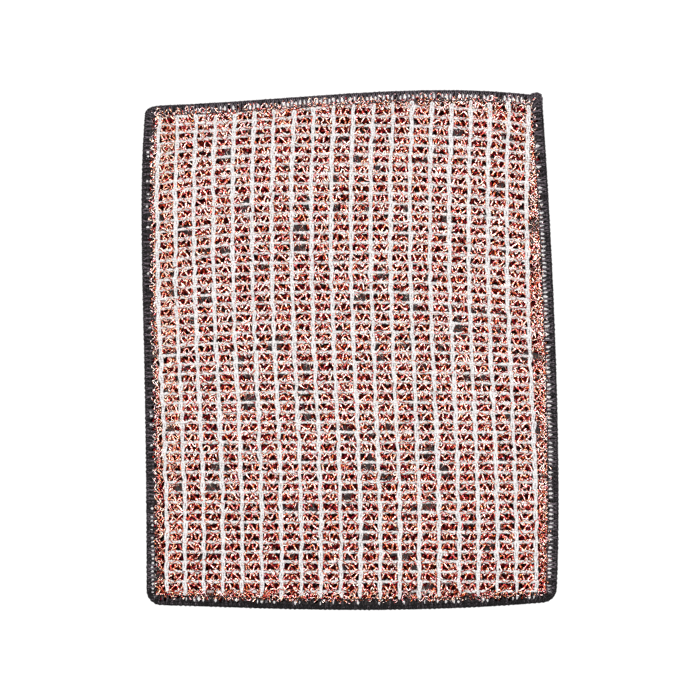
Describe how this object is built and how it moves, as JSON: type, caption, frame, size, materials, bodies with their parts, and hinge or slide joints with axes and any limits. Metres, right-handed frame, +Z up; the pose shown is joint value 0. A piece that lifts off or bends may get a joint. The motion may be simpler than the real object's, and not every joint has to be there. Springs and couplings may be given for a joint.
{
  "type": "copper scrubbing cloth",
  "caption": "Flat knitted scrubbing cloth with copper tinsel on both faces, white chain stitches and a black overlocked rim.",
  "frame": {"origin": "on the underside, at the middle of the outline's bounding box", "axes": "+Z up through the cloth, from its back face to its front face; +Y along its long sides, towards the wider bowed end that is the top of the picture; +X to the right"},
  "size_m": [0.1432, 0.1786, 0.0052],
  "materials": {
    "white_yarn": "matte",
    "copper_tinsel": "satin",
    "dark_lining": "matte",
    "black_thread": "satin"
  },
  "bodies": {
    "root": {"core_lining": "dark_lining", "back_copper_net": "copper_tinsel", "front_copper_net": "copper_tinsel", "back_course_thread": "white_yarn", "front_course_thread": "white_yarn", "back_chain_01": "white_yarn", "back_chain_02": "white_yarn", "back_chain_03": "white_yarn", "back_chain_04": "white_yarn", "back_chain_05": "white_yarn", "back_chain_06": "white_yarn", "back_chain_07": "white_yarn", "back_chain_08": "white_yarn", "back_chain_09": "white_yarn", "back_chain_10": "white_yarn", "back_chain_11": "white_yarn", "back_chain_12": "white_yarn", "back_chain_13": "white_yarn", "back_chain_14": "white_yarn", "back_chain_15": "white_yarn", "back_chain_16": "white_yarn", "back_chain_17": "white_yarn", "back_chain_18": "white_yarn", "back_chain_19": "white_yarn", "back_chain_20": "white_yarn", "front_chain_01": "white_yarn", "front_chain_02": "white_yarn", "front_chain_03": "white_yarn", "front_chain_04": "white_yarn", "front_chain_05": "white_yarn", "front_chain_06": "white_yarn", "front_chain_07": "white_yarn", "front_chain_08": "white_yarn", "front_chain_09": "white_yarn", "front_chain_10": "white_yarn", "front_chain_11": "white_yarn", "front_chain_12": "white_yarn", "front_chain_13": "white_yarn", "front_chain_14": "white_yarn", "front_chain_15": "white_yarn", "front_chain_16": "white_yarn", "front_chain_17": "white_yarn", "front_chain_18": "white_yarn", "front_chain_19": "white_yarn", "front_chain_20": "white_yarn", "front_looper_thread": "black_thread", "back_looper_thread": "black_thread", "needle_thread": "black_thread", "overlock_tail": "black_thread"}
  },
  "joints": []
}
